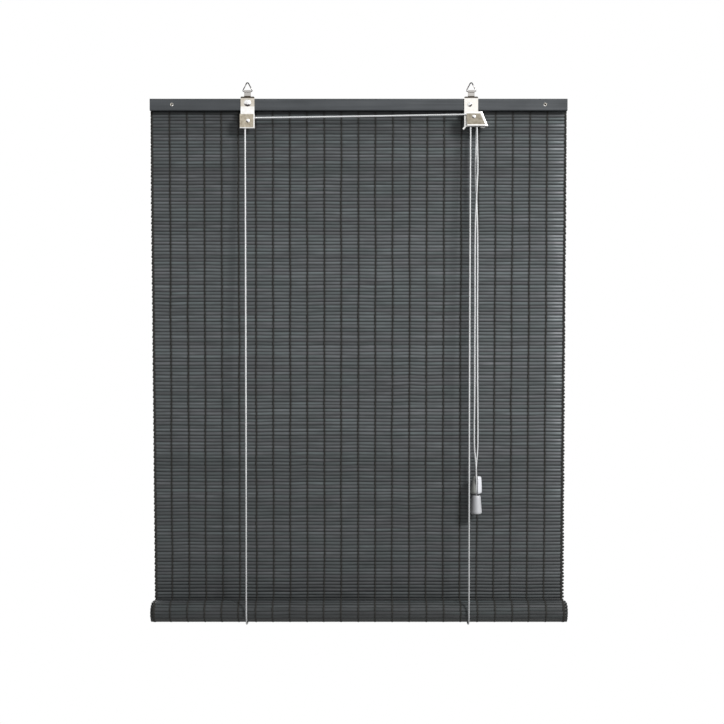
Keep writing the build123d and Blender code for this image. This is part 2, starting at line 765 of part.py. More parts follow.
# Tassel bell: a hollow cone with a hole for the two cords
bell_hole = tassel_cord_spacing / 2 + cord_radius + bell_hole_clearance
with BuildPart() as tassel_bell:
    with BuildSketch(Plane.XZ.offset(-tassel_y)):
        with BuildLine():
            FilletPolyline(
                (tassel_x + bell_hole, bell_top_z),
                (tassel_x + bell_top_radius, bell_top_z),
                (tassel_x + bell_bottom_radius, bell_bottom_z),
                (tassel_x + bell_bottom_radius - bell_wall, bell_bottom_z),
                (tassel_x + bell_top_radius - bell_wall, bell_top_z - bell_wall),
                (tassel_x + bell_hole, bell_top_z - bell_wall),
                radius=(0, bell_edge_radius, bell_lip_radius, bell_lip_radius, bell_lip_radius, 0),
                close=True,
            )
        make_face()
    revolve(axis=Axis((tassel_x, tassel_y, 0), (0, 0, 1)))
finish(tassel_bell, "tassel_bell")

# Cords through the clip and the bell, down to the knot inside the bell
knot_top_z = bell_top_z - bell_wall
with BuildPart() as tassel_cords:
    with BuildSketch(Plane.XY.offset(clip_top_z)):
        with Locations((tassel_x, tassel_y)):
            with GridLocations(0, tassel_cord_spacing, 1, 2):
                Circle(cord_radius)
    extrude(amount=knot_top_z - clip_top_z)
finish(tassel_cords, "tassel_cords")

with BuildPart() as tassel_knot:
    with Locations((tassel_x, tassel_y, knot_top_z - tassel_knot_drop)):
        Sphere(tassel_knot_radius)
    split(bisect_by=Plane.XY.offset(knot_top_z), keep=Keep.BOTTOM)
finish(tassel_knot, "tassel_knot")
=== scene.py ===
from math import acos, cos, pi, radians, sin, tau

import bpy
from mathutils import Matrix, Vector
import numpy as np


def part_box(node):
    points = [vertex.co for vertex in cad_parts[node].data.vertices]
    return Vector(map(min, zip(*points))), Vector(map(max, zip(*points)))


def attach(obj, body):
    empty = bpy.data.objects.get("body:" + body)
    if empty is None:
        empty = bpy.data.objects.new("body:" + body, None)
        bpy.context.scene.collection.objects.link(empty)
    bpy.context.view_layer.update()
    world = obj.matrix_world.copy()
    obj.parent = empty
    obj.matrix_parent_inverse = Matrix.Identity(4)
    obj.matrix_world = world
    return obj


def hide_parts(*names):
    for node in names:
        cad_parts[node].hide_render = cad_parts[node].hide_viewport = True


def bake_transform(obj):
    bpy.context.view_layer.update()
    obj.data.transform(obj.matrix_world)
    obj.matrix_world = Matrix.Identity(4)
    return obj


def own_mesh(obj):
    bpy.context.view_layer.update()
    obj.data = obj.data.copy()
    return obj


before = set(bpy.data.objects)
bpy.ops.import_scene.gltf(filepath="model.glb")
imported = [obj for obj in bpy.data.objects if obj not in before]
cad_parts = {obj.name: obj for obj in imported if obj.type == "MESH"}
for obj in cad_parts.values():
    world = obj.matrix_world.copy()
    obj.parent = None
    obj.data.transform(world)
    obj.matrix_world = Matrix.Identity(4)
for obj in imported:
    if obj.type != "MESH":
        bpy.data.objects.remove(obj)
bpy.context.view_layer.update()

# Looks of a roll-up blind of painted bamboo slats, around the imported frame. Lengths are in metres, and in
# mm in the routes and profiles of cords and tassel.
# X runs along the rail, Z is up, +Y points to the wall, and the origin is midway between the screw holes.

MM = 0.001

# Sizes shared with the frame
rail_low, rail_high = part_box("head_rail")
mat_low, mat_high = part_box("slat_mat")
BLIND_HALF = rail_high[0]
MAT_BACK_Y = mat_high[1]
MAT_FRONT_Y = mat_low[1]
MAT_TOP_Z = mat_high[2]
MAT_BOTTOM_Z = mat_low[2]
MAT_MID_Y = (MAT_BACK_Y + MAT_FRONT_Y) / 2
SLAT_COUNT = 152
SLAT_PITCH = (MAT_TOP_Z - MAT_BOTTOM_Z) / SLAT_COUNT
SLAT_THICKNESS = MAT_BACK_Y - MAT_FRONT_Y
WARP_COUNT = 25
WARP_PITCH = 24.75 * MM
WARP_HALF = 1.3 * MM
WARP_THICKNESS = 0.4 * MM
ROLL_AXIS = (-21.6 * MM, -728.0 * MM)
ROLL_RADIUS = 17.0 * MM
TURN_PITCH = 3.3 * MM
ROD_RADIUS = 4.0 * MM
CORD_RADIUS = 1.2 * MM
TASSEL = (169.05 * MM, -22.15 * MM)
HOLE_X = 268.0 * MM

# Camera at the photograph's height and distance, looking slightly down
CAMERA_PLACE = (4.9 * MM, -2.0, -0.333)
CAMERA_TILT_DOWN = 1.06
CAMERA_LENS = 68.5
SENSOR_WIDTH = 36.0
CLIP_START = 0.05
camera_data = bpy.data.cameras.new("camera")
camera_data.lens = CAMERA_LENS
camera_data.sensor_width = SENSOR_WIDTH
camera_data.clip_start = CLIP_START
camera = bpy.data.objects.new("camera", camera_data)
camera.location = CAMERA_PLACE
camera.rotation_euler = (radians(90.0 - CAMERA_TILT_DOWN), 0.0, 0.0)
bpy.context.scene.collection.objects.link(camera)
bpy.context.scene.camera = camera


def mesh_object(name, points, faces, smooth=True):
    """A new mesh object in the scene, from points and faces in the row frame."""
    mesh = bpy.data.meshes.new(name)
    mesh.from_pydata([tuple(point) for point in points], [], faces)
    mesh.polygons.foreach_set("use_smooth", [smooth] * len(mesh.polygons))
    mesh.update()
    piece = bpy.data.objects.new(name, mesh)
    bpy.context.scene.collection.objects.link(piece)
    return piece


def point_attribute(piece, name, values):
    """One number for each point of a mesh, for its material to read."""
    attribute = piece.data.attributes.new(name, "FLOAT", "POINT")
    attribute.data.foreach_set("value", np.asarray(values, np.float32).ravel())


def point_vector(piece, name, vectors):
    """Three numbers for each point of a mesh, for its material to read."""
    attribute = piece.data.attributes.new(name, "FLOAT_VECTOR", "POINT")
    attribute.data.foreach_set("vector", np.asarray(vectors, np.float32).ravel())


# Cords: each line is a NURBS spline through the same route as the frame's solid
CORD_RESOLUTION = 16


def spline_points(route):
    """Points along the smooth spline that a route's points control."""
    curve = bpy.data.curves.new("route", "CURVE")
    curve.dimensions = "3D"
    curve.resolution_u = CORD_RESOLUTION
    spline = curve.splines.new("NURBS")
    spline.points.add(len(route) - 1)
    for point, place in zip(spline.points, route):
        point.co = (*place, 1.0)
    spline.order_u = 3
    spline.use_endpoint_u = True
    carrier = bpy.data.objects.new("route", curve)
    bpy.context.scene.collection.objects.link(carrier)
    bpy.context.view_layer.update()
    line = bpy.data.meshes.new_from_object(carrier)
    places = [Vector(vertex.co) for vertex in line.vertices]
    bpy.data.objects.remove(carrier)
    bpy.data.curves.remove(curve)
    bpy.data.meshes.remove(line)
    return places


def even_line(places, step):
    """The line through places as evenly spaced points, with the distance along it."""
    corners = np.array([tuple(place) for place in places])
    runs = np.linalg.norm(np.diff(corners, axis=0), axis=1)
    reach = np.concatenate(([0.0], np.cumsum(runs)))
    count = max(2, round(reach[-1] / step) + 1)
    distances = np.linspace(0.0, reach[-1], count)
    points = np.stack([np.interp(distances, reach, corners[:, axis]) for axis in range(3)], axis=1)
    return points, distances


STRANDS = 3
STRAND_SIDES = 4
STRAND_LOBE = 0.3
TWIST_LENGTH = 9.6 * MM
RING_STEP = 0.7 * MM
# A direction that no cord starts along, to set its first ring square
ASKEW = (0.31, 0.87, 0.38)


def cord_tube(name, places, radius=CORD_RADIUS, closed=False):
    """A cord of twisted strands along a line. Its points know how deep between the strands they lie."""
    points, distances = even_line(places, RING_STEP)
    sides = STRANDS * STRAND_SIDES
    tangents = np.gradient(points, axis=0)
    tangents /= np.linalg.norm(tangents, axis=1)[:, None]
    normal = np.cross(tangents[0], ASKEW)
    vertices, valley = [], []
    for place, tangent, distance in zip(points, tangents, distances):
        normal = normal - tangent * normal.dot(tangent)
        normal /= np.linalg.norm(normal)
        side = np.cross(tangent, normal)
        for index in range(sides):
            around = tau * index / sides
            depth = 1.0 - abs(cos(STRANDS * around / 2))
            reach = radius * (1.0 - STRAND_LOBE * depth)
            turn = around + tau * distance / TWIST_LENGTH
            vertices.append(place + reach * (cos(turn) * normal + sin(turn) * side))
            valley.append(depth)
    rings = len(points)
    faces = [
        (
            ring * sides + index,
            ring * sides + (index + 1) % sides,
            (ring + 1) * sides + (index + 1) % sides,
            (ring + 1) * sides + index,
        )
        for ring in range(rings - 1)
        for index in range(sides)
    ]
    if not closed:
        faces.append(tuple(reversed(range(sides))))
        faces.append(tuple(range((rings - 1) * sides, rings * sides)))
    piece = mesh_object(name, vertices, faces)
    point_attribute(piece, "valley", valley)
    return piece


def in_metres(route):
    """A route's points in metres."""
    return [tuple(value * MM for value in place) for place in route]


# Pull cords: from the right housing down into the tassel's clip
PULL_ROUTES = {
    "rear": (
        (169.1, -19.7, -33.1),
        (168.4, -19.6, -62.0),
        (166.9, -19.9, -92.0),
        (168.4, -20.3, -124.0),
        (170.5, -20.6, -170.0),
        (170.8, -20.8, -230.0),
        (170.5, -20.8, -290.0),
        (170.8, -20.9, -350.0),
        (170.9, -20.9, -410.0),
        (171.4, -20.9, -470.0),
        (171.2, -20.9, -498.0),
        (169.0, -20.9, -518.0),
        (169.05, -20.85, -533.5),
    ),
    "front": (
        (169.1, -24.6, -33.1),
        (169.9, -24.7, -62.0),
        (170.6, -24.4, -92.0),
        (169.2, -24.0, -124.0),
        (167.0, -23.8, -170.0),
        (166.5, -23.6, -230.0),
        (166.8, -23.5, -290.0),
        (166.4, -23.5, -350.0),
        (166.6, -23.4, -410.0),
        (165.9, -23.4, -470.0),
        (166.3, -23.4, -498.0),
        (169.1, -23.4, -518.0),
        (169.05, -23.45, -533.5),
    ),
}
cord_pieces = []
for side, route in PULL_ROUTES.items():
    line = spline_points(in_metres(route))
    pull_cord = cord_tube(f"pull_cord_{side}_twisted", line)
    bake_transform(pull_cord)
    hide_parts(f"pull_cord_{side}")
    cord_pieces.append(pull_cord)

# Cord ends between the clip's halves, down through the bell
TASSEL_ROUTES = {
    "rear": ((169.05, -20.85, -533.4), (169.05, -20.85, -548.0), (169.05, -20.85, -564.0)),
    "front": (
        (169.05, -23.45, -533.4),
        (169.1, -28.4, -534.6),
        (169.1, -28.9, -546.0),
        (169.1, -28.4, -558.4),
        (169.05, -23.45, -560.0),
        (169.05, -23.45, -564.0),
    ),
}
for side, route in TASSEL_ROUTES.items():
    tassel_cord = cord_tube(f"tassel_cord_{side}", spline_points(in_metres(route)))
    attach(tassel_cord, "tassel")
    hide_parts("tassel_cords")
    cord_pieces.append(tassel_cord)

# Lift cords: a run behind the mat, a bight under the roll, and a run in front up to the wheel
SLING_X = {"left": -160.5, "right": 157.5}
BACK_RUN = ((-3.1, -727.9), (-2.8, -360.0), (-2.5, 8.5))
BIGHT_RUN = (
    (-3.1, -727.8),
    (-3.1, -736.0),
    (-11.5, -746.4),
    (-31.6, -746.4),
    (-39.95, -736.0),
    (-39.95, -727.8),
)
FRONT_FOOT = (-39.95, -727.9)
FRONT_TOPS = {"left": (-162.85, -19.7, -24.4), "right": (160.1, -24.6, -19.3)}
FRONT_BENDS = {"left": (-161.2, -29.5, -376.0), "right": (158.1, -31.5, -372.0)}
for side, sling_x in SLING_X.items():
    runs = {
        "back": [(sling_x, *place) for place in BACK_RUN],
        "front": [(sling_x, *FRONT_FOOT), FRONT_BENDS[side], FRONT_TOPS[side]],
    }
    for run, route in runs.items():
        lift_cord = cord_tube(f"{side}_lift_{run}_twisted", spline_points(in_metres(route)))
        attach(lift_cord, "rail_assembly")
        foot, anchor = in_metres((route[0], route[-1]))
        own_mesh(lift_cord)
        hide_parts(f"{side}_lift_{run}")
        cord_pieces.append(lift_cord)
    bight_route = in_metres((sling_x, *place) for place in BIGHT_RUN)
    bight = cord_tube(f"{side}_lift_bight_twisted", spline_points(bight_route))
    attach(bight, "sling")
    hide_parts(f"{side}_lift_bight")
    cord_pieces.append(bight)

# Cross cord from the left wheel to the right rear wheel, and the right cord's turn over the front wheel
CROSS_ROUTE = (
    (-162.85, -19.7, -24.3),
    (-162.85, -19.7, -19.6),
    (-154.0, -19.7, -19.7),
    (0.0, -19.7, -17.6),
    (164.6, -19.7, -14.5),
    (169.1, -19.7, -15.2),
    (169.1, -19.7, -24.0),
    (169.1, -19.7, -33.0),
)
WRAP_ROUTE = (
    (160.1, -24.6, -19.2),
    (160.1, -24.6, -14.6),
    (169.1, -24.6, -14.6),
    (169.1, -24.6, -24.0),
    (169.1, -24.6, -33.0),
)
for name, route in (("cross_cord", CROSS_ROUTE), ("right_wrap_cord", WRAP_ROUTE)):
    held_cord = cord_tube(f"{name}_twisted", spline_points(in_metres(route)))
    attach(held_cord, "rail_assembly")
    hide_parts(name)
    cord_pieces.append(held_cord)

# Knots on top of the rear batten and inside the bell
KNOT_POINTS = 90
KNOT_Y = -2.5 * MM
KNOT_Z = 10.2 * MM
KNOT_SIZE = 1.35 * MM
KNOT_CORD_RADIUS = 0.9 * MM
TASSEL_KNOT_Z = -566.2 * MM
TASSEL_KNOT_SIZE = 2.8 * MM


def knot(name, centre, size, radius):
    """A cord's overhand knot, drawn tight: a closed trefoil."""
    line = []
    for index in range(KNOT_POINTS + 1):
        turn = tau * index / KNOT_POINTS
        x = (sin(turn) + 2 * sin(2 * turn)) / 3
        y = (cos(turn) - 2 * cos(2 * turn)) / 3
        z = -sin(3 * turn) / 2
        line.append(Vector(centre) + Vector((x, y, z)) * size)
    return cord_tube(name, line, radius, closed=True)


for side, sling_x in SLING_X.items():
    cord_knot = knot(f"{side}_cord_knot_tied", (sling_x * MM, KNOT_Y, KNOT_Z), KNOT_SIZE, KNOT_CORD_RADIUS)
    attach(cord_knot, "rail_assembly")
    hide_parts(f"{side}_cord_knot")
    cord_pieces.append(cord_knot)
tassel_knot = knot("tassel_knot_tied", (*TASSEL, TASSEL_KNOT_Z), TASSEL_KNOT_SIZE, CORD_RADIUS)
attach(tassel_knot, "tassel")
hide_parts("tassel_knot")
cord_pieces.append(tassel_knot)

# Tassel: a hollow bell and the two rounded halves of its clip, with the cords in the groove between them
BELL_SIDES = 48
BELL_PROFILE = (
    (2.7, -561.4),
    (5.1, -561.5),
    (6.1, -562.1),
    (6.6, -563.6),
    (7.3, -574.0),
    (8.0, -583.0),
    (8.2, -585.2),
    (7.9, -587.0),
    (6.9, -588.1),
    (6.2, -587.4),
    (5.9, -580.0),
    (5.0, -566.5),
    (4.4, -564.6),
    (2.7, -564.4),
)
CLIP_GROOVE_HALF = 1.4 * MM
CLIP_ARC_STEPS = 20
CLIP_PROFILES = {
    "left": (
        (2.6, -533.7),
        (3.9, -534.4),
        (4.7, -536.2),
        (6.6, -545.0),
        (7.9, -554.6),
        (8.0, -556.4),
        (7.3, -558.2),
        (5.6, -559.0),
    ),
    "right": (
        (4.6, -533.7),
        (6.3, -534.2),
        (7.2, -535.4),
        (7.6, -537.4),
        (8.1, -548.0),
        (8.2, -555.4),
        (7.7, -557.6),
        (6.0, -559.0),
    ),
}


def bell_mesh(name):
    """The bell: its profile turned round the tassel's axis."""
    points = []
    for index in range(BELL_SIDES):
        turn = tau * index / BELL_SIDES
        for radius, z in BELL_PROFILE:
            x = TASSEL[0] + radius * MM * cos(turn)
            points.append((x, TASSEL[1] + radius * MM * sin(turn), z * MM))
    size = len(BELL_PROFILE)
    faces = []
    for index in range(BELL_SIDES):
        here, beside = index * size, (index + 1) % BELL_SIDES * size
        for corner in range(size):
            after = (corner + 1) % size
            faces.append((here + corner, here + after, beside + after, beside + corner))
    return mesh_object(name, points, faces)


def clip_half_mesh(name, profile, side):
    """One half of the clip (side is -1 or 1): rounded outside, flat towards the groove."""
    points, faces = [], []
    size = CLIP_ARC_STEPS + 1
    for radius, z in profile:
        reach = acos(CLIP_GROOVE_HALF / (radius * MM))
        for step in range(size):
            turn = reach * (2 * step / CLIP_ARC_STEPS - 1)
            x = TASSEL[0] + side * radius * MM * cos(turn)
            points.append((x, TASSEL[1] + radius * MM * sin(turn), z * MM))
    for ring in range(len(profile) - 1):
        for corner in range(size):
            here = ring * size + corner
            beside = ring * size + (corner + 1) % size
            face = (here, beside, beside + size, here + size)
            faces.append(face[::-side])
    last = (len(profile) - 1) * size
    faces.append(tuple(range(size))[::side])
    faces.append(tuple(range(last, last + size))[::-side])
    return mesh_object(name, points, faces)


bell = bell_mesh("bell_moulded")
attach(bell, "tassel")
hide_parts("tassel_bell")
clip_left = clip_half_mesh("clip_left_moulded", CLIP_PROFILES["left"], -1)
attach(clip_left, "tassel")
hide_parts("clip_half_left")
clip_right = clip_half_mesh("clip_right_moulded", CLIP_PROFILES["right"], 1)
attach(clip_right, "clip_right")
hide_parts("clip_half_right")

# Mat and roll: each slat is a closed bevelled lath with its own tone, tilt and waviness
# How far the slats' ends and the inner stitch lines lean over the mat's height, on the left and right
EDGE_LEAN = (5.2 * MM, -2.1 * MM)
LINE_LEAN = (2.6 * MM, -4.2 * MM)
# How far the left and the right outer line lie inside the slats' ends, each at the top and at the bottom
EDGE_LINE_INSETS = ((1.5 * MM, 1.5 * MM), (1.3 * MM, 4.2 * MM))
EDGE_WARP_WIDTH = 1.6
EDGE_LINE_WANDER = 0.3
THREAD_WANDER = 0.5 * MM
THREAD_SWAY = 0.25 * MM
STITCH_REACH = 3.1 * MM
HOLE_GAP = 2.4 * MM
HOLE_ROW = 1
TOP_SLATS = 17
# Section of a slat: share of half its thickness (+ behind), share of its height, and how much painted shade
# the groove takes there
SECTION = (
    (0.0, 0.62, 1.6),
    (0.85, 0.36, 0.3),
    (1.0, 0.0, 0.0),
    (0.85, -0.36, 0.3),
    (0.0, -0.62, 1.6),
    (-0.70, -0.41, 0.4),
    (-0.97, -0.20, 0.0),
    (-1.0, 0.16, 0.0),
    (-0.72, 0.41, 0.2),
)
RANDOM_SEED = 7
WANDER_SPREAD = 0.6
THREAD_SMOOTH = 9
WAVE_SMOOTH = 12


def wander(smooth):
    """A smooth random line of one value for each slat row, mostly within -1 and 1."""
    knots = rng.normal(0.0, WANDER_SPREAD, SLAT_COUNT // smooth + 3)
    return np.interp(np.arange(SLAT_COUNT) / smooth, np.arange(len(knots)), knots)


rng = np.random.default_rng(RANDOM_SEED)
thread_offsets = [wander(THREAD_SMOOTH) * THREAD_WANDER for warp in range(WARP_COUNT)]
row_waves = [wander(WAVE_SMOOTH) for warp in range(WARP_COUNT)]


def edge_x(side, depth):
    """Where the slats end on the left (0) or right (1), at a depth of 0 to 1 down the mat."""
    return (2 * side - 1) * BLIND_HALF + EDGE_LEAN[side] * depth


def thread_x(warp, row):
    """Where a stitch line crosses a slat: the lines wander a little and lean in towards the bottom."""
    depth = row / SLAT_COUNT
    offset = thread_offsets[warp][min(row, SLAT_COUNT - 1)]
    if warp in (0, WARP_COUNT - 1):
        side = int(warp > 0)
        top_inset, low_inset = EDGE_LINE_INSETS[side]
        inset = top_inset * (1 - depth) + low_inset * depth
        return edge_x(side, depth) + (1 - 2 * side) * inset + EDGE_LINE_WANDER * offset
    share = warp / (WARP_COUNT - 1)
    lean = LINE_LEAN[0] * (1 - share) + LINE_LEAN[1] * share
    straight = (warp - (WARP_COUNT - 1) / 2) * WARP_PITCH
    return straight + lean * depth + offset


# Painted shade down the mat: darkest behind the rail and close to the roll, and a little darker low down
PAINTED_SHADE_ROWS = (0, 3, 4, 12, 40, 70, 95, 125, 143, 147, 149, 151, 152)
PAINTED_SHADE_TONES = (-1.2, -1.2, -0.3, -0.1, 0.04, 0.14, 0.06, -0.26, -0.36, -0.5, -1.3, -1.3, -0.4)
# Each slat's own faults: spread of its tone, tilt in radians, height, and its shift and stand-off in mm
TONE_SPREAD = 0.45
TILT_SPREAD = 0.035
SLAT_OVERLAP = 1.05
HEIGHT_RANGE = (-0.02, 0.05)
SHIFT_SPREAD = 0.12
PROUD_SPREAD = 0.09
# How strongly each slat takes the painted sheen
SHEEN_STRENGTH_RANGE = (0.35, 1.25)
made_slats = []


class Slat:
    """One slat: its middle, its angle round the roll, its ends and its own small faults."""

    def __init__(self, row, y, z, angle, left, right):
        self.row = row
        self.y = y
        self.z = z
        self.angle = angle
        self.left = left
        self.right = right
        # A slat's tone is its own random tone plus the painted shade of its row
        self.tone = 0.5 + rng.uniform(-0.5, 0.5) * TONE_SPREAD + np.interp(row, PAINTED_SHADE_ROWS, PAINTED_SHADE_TONES)
        self.tilt = rng.normal(0.0, TILT_SPREAD)
        self.height = SLAT_PITCH * (SLAT_OVERLAP + rng.uniform(*HEIGHT_RANGE))
        self.shift = rng.normal(0.0, SHIFT_SPREAD) * MM
        self.proud = rng.normal(0.0, PROUD_SPREAD) * MM
        self.sheen_strength = rng.uniform(*SHEEN_STRENGTH_RANGE)
        self.number = len(made_slats)
        made_slats.append(self)

    def place(self, across, along):
        """A point of the slat's section in the row frame's YZ plane."""
        angle = self.angle + self.tilt
        y = self.y + across * cos(angle) + along * sin(angle)
        z = self.z - across * sin(angle) + along * cos(angle)
        return y, z


# Painted highlight on the last two columns on the right, and how fast it fades down the mat
RIGHT_COLUMN_SHEEN = (0.2, 0.8)
SHEEN_FADE = 2.4
# Tone added to a slat's upper and lower half, a painted highlight above and painted shade below, and the
# share of the painted sheen that it takes
UPPER_HALF_PAINTED_LIGHT = (0.3, 1.3)
LOWER_HALF_PAINTED_LIGHT = (-0.22, 0.2)
# A slat's shape and painted shade at its left and right end and under a stitch, its wave in mm, its grain's
# offset
END_TAPER = (0.75, 0.4)
END_PAINTED_SHADE = 1.35
STITCH_PINCH = 0.95
STITCH_THINNING = 0.06
WAVE_REACH = 0.28
GRAIN_STEP = 0.37


def stations(slat):
    """Places along a slat: (x, share of full height, nearness to a stitch, which also sets its painted shade,
    extra painted sheen).
    """
    sheen_share = slat.sheen_strength * min(1.0, (1.0 - slat.row / SLAT_COUNT) * SHEEN_FADE)
    found = [(slat.left, END_TAPER[0], END_PAINTED_SHADE, 0.0)]
    for warp in range(WARP_COUNT):
        x = thread_x(warp, slat.row)
        if warp > 0:
            sheen = RIGHT_COLUMN_SHEEN[1] * sheen_share if warp == WARP_COUNT - 1 else 0.0
            found.append((x - STITCH_REACH, 1.0, 0.0, sheen))
        found.append((x, STITCH_PINCH, 1.0, 0.0))
        if warp < WARP_COUNT - 1:
            sheen = RIGHT_COLUMN_SHEEN[0] * sheen_share if warp == WARP_COUNT - 2 else 0.0
            found.append((x + STITCH_REACH, 1.0, 0.0, sheen))
    found.append((slat.right, END_TAPER[1], END_PAINTED_SHADE, 0.0))
    return [place for place in found if slat.left <= place[0] <= slat.right]


def slat_mesh(name, slats, fine):
    """One mesh of many slats. Slats that aren't fine have only their two ends."""
    vertices, faces, tone, stitch, groove, grain = [], [], [], [], [], []
    size = len(SECTION)
    for slat in slats:
        places = stations(slat) if fine(slat) else [(slat.left, 1, 0, 0), (slat.right, 1, 0, 0)]
        start = len(vertices)
        for order, (x, share, near, sheen) in enumerate(places):
            wave_line = row_waves[min(order // 3, WARP_COUNT - 1)]
            wave = wave_line[min(slat.row, SLAT_COUNT - 1)] * WAVE_REACH * MM
            for depth, height, dark in SECTION:
                across = depth * SLAT_THICKNESS / 2 * (1.0 - STITCH_THINNING * near) - slat.proud
                along = height * slat.height * share + slat.shift + wave
                vertices.append((x, *slat.place(across, along)))
                # Painted highlight on the upper half, painted shade on the lower half, and painted sheen, all
                # carried in the tone
                half_painted_light, half_sheen = UPPER_HALF_PAINTED_LIGHT if height > 0.0 else LOWER_HALF_PAINTED_LIGHT
                tone.append(slat.tone + half_painted_light + sheen * half_sheen)
                stitch.append(near)
                groove.append(dark)
                grain.append((x, slat.number * GRAIN_STEP, height * slat.height))
        for order in range(len(places) - 1):
            for corner in range(size):
                here = start + order * size
                after = (corner + 1) % size
                faces.append((here + corner, here + size + corner, here + size + after, here + after))
        faces.append(tuple(start + corner for corner in range(size)))
        last = start + (len(places) - 1) * size
        faces.append(tuple(last + corner for corner in reversed(range(size))))
    piece = mesh_object(name, vertices, faces)
    point_attribute(piece, "tone", tone)
    point_attribute(piece, "stitch", stitch)
    point_attribute(piece, "groove", groove)
    point_vector(piece, "grain", grain)
    return piece


THREAD_SECTION = ((-1.0, 0.0), (-0.65, 0.8), (0.0, 1.0), (0.65, 0.8), (1.0, 0.0))
# Rows of a thread on each slat: share of the slat's height, lift off the groove, share of full width
THREAD_ROWS = ((0.5, 0.0, 0.62), (0.24, 0.8, 1.0), (0.0, 1.0, 1.06), (-0.24, 0.8, 1.0))
GROOVE_SINK = 0.55 * MM
# How deep a thread sits in the slat's half thickness, and how far its middle stands up, in thread thicknesses
THREAD_SEAT = 0.86
THREAD_RISE = 1.25


def thread_mesh(name, slats, face):
    """The warp threads over a run of slats, on their back (1) or front (-1): a stitch on each slat."""
    vertices, faces, strand = [], [], []
    size = len(THREAD_SECTION)
    for warp in range(WARP_COUNT):
        start = len(vertices)
        rows = 0
        for slat in slats:
            x = thread_x(warp, slat.row)
            thickness = EDGE_WARP_WIDTH if warp in (0, WARP_COUNT - 1) else 1.0
            for height, lift, width in THREAD_ROWS:
                base = SLAT_THICKNESS / 2 * THREAD_SEAT - GROOVE_SINK * (1.0 - lift)
                sway = THREAD_SWAY * (1 if slat.number % 2 else -1)
                for sideways, rise in THREAD_SECTION:
                    across = face * (base + rise * WARP_THICKNESS * THREAD_RISE)
                    along = height * slat.height + slat.shift
                    reach = sway + sideways * width * thickness * WARP_HALF
                    kept_x = max(-BLIND_HALF, min(BLIND_HALF, x + reach))
                    vertices.append((kept_x, *slat.place(across, along)))
                    strand.append((sideways, height + slat.number, lift))
                rows += 1
        for row in range(rows - 1):
            for corner in range(size - 1):
                here = start + row * size + corner
                faces.append((here, here + 1, here + size + 1, here + size))
    piece = mesh_object(name, vertices, faces)
    point_vector(piece, "strand", strand)
    return piece


# Play of the slats' left and right ends, in mm
END_PLAY = (0.5, 0.7)
hanging = []
for row in range(SLAT_COUNT):
    height = MAT_TOP_Z - (row + 0.5) * SLAT_PITCH
    depth = row / SLAT_COUNT
    left = edge_x(0, depth) + rng.uniform(0.0, END_PLAY[0]) * MM
    right = edge_x(1, depth) - rng.uniform(0.0, END_PLAY[1]) * MM
    spans = [(left, right)]
    if row == HOLE_ROW:
        gaps = (-HOLE_X - HOLE_GAP, -HOLE_X + HOLE_GAP, HOLE_X - HOLE_GAP, HOLE_X + HOLE_GAP)
        spans = [(left, gaps[0]), (gaps[1], gaps[2]), (gaps[3], right)]
    for span in spans:
        hanging.append(Slat(row, MAT_MID_Y, height, 0.0, *span))
mat_pieces, thread_pieces = [], []
top_slats = [slat for slat in hanging if slat.row < TOP_SLATS]
drop_slats = [slat for slat in hanging if slat.row >= TOP_SLATS]
for part, slats in (("top", top_slats), ("drop", drop_slats)):
    mat = slat_mesh(f"mat_{part}", slats, lambda slat: True)
    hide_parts("slat_mat")
    mat_pieces.append(mat)
    below_rail = [slat for slat in slats if slat.z < rail_low[2]]
    for side, face in (("front", -1), ("back", 1)):
        threads = thread_mesh(f"threads_{side}_{part}", below_rail, face)
        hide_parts(f"warp_threads_{side}")
        thread_pieces.append(threads)
for piece in mat_pieces + thread_pieces:
    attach(piece, "rail_assembly")
    if piece.name.endswith("drop"):
        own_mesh(piece)

# Roll: the same slats along a spiral that starts where the hanging mat ends
ROLL_MID_RADIUS = ROLL_RADIUS - SLAT_THICKNESS / 2
FIRST_SLAT_REACH = 4.3 * MM / 2 + 0.3 * MM
CORE_CLEARANCE = 1.8 * MM
OUTER_TURN = 1.08 * tau
TOP_OF_ROLL = 1.55 * pi
# The rolled slats' ends, left and right, in mm: least inset, more over the top of the roll, and play
ROLL_END_INSETS = ((1.6, 2.4, 0.4), (0.1, 1.6, 0.5))


def roll_inset(side, over_top):
    """How far a rolled slat's end lies inside the blind's end on the left (0) or right (1)."""
    least, added, play = ROLL_END_INSETS[side]
    return (least + added * over_top**3 + rng.uniform(0.0, play)) * MM


rolled = []
angle = FIRST_SLAT_REACH / ROLL_MID_RADIUS
while ROLL_MID_RADIUS - TURN_PITCH * angle / tau > ROD_RADIUS + CORE_CLEARANCE:
    radius = ROLL_MID_RADIUS - TURN_PITCH * angle / tau
    y = ROLL_AXIS[0] + radius * cos(angle)
    z = ROLL_AXIS[1] - radius * sin(angle)
    over_top = max(0.0, cos(angle - TOP_OF_ROLL))
    left = -BLIND_HALF + roll_inset(0, over_top)
    right = BLIND_HALF - roll_inset(1, over_top)
    rolled.append(Slat(SLAT_COUNT, y, z, angle, left, right))
    angle += SLAT_PITCH / radius
roll = slat_mesh("roll_slats", rolled, lambda slat: slat.angle < OUTER_TURN)
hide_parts("slat_roll")
outer_slats = [slat for slat in rolled if slat.angle < OUTER_TURN]
roll_threads = thread_mesh("roll_threads", outer_slats, 1)
mat_pieces.append(roll)
thread_pieces.append(roll_threads)
for piece in (roll, roll_threads):
    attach(piece, "roll")

# Materials: colours as (place on a ramp, red, green, blue), or as plain red, green, blue
BAMBOO_TONES = (
    (0.0, 0.016, 0.018, 0.019),
    (0.45, 0.057, 0.063, 0.066),
    (0.8, 0.120, 0.132, 0.139),
    (1.0, 0.230, 0.242, 0.256),
)
GREEN_CAST = (0.93, 1.04, 1.0)
RED_CAST = (1.08, 0.97, 1.0)
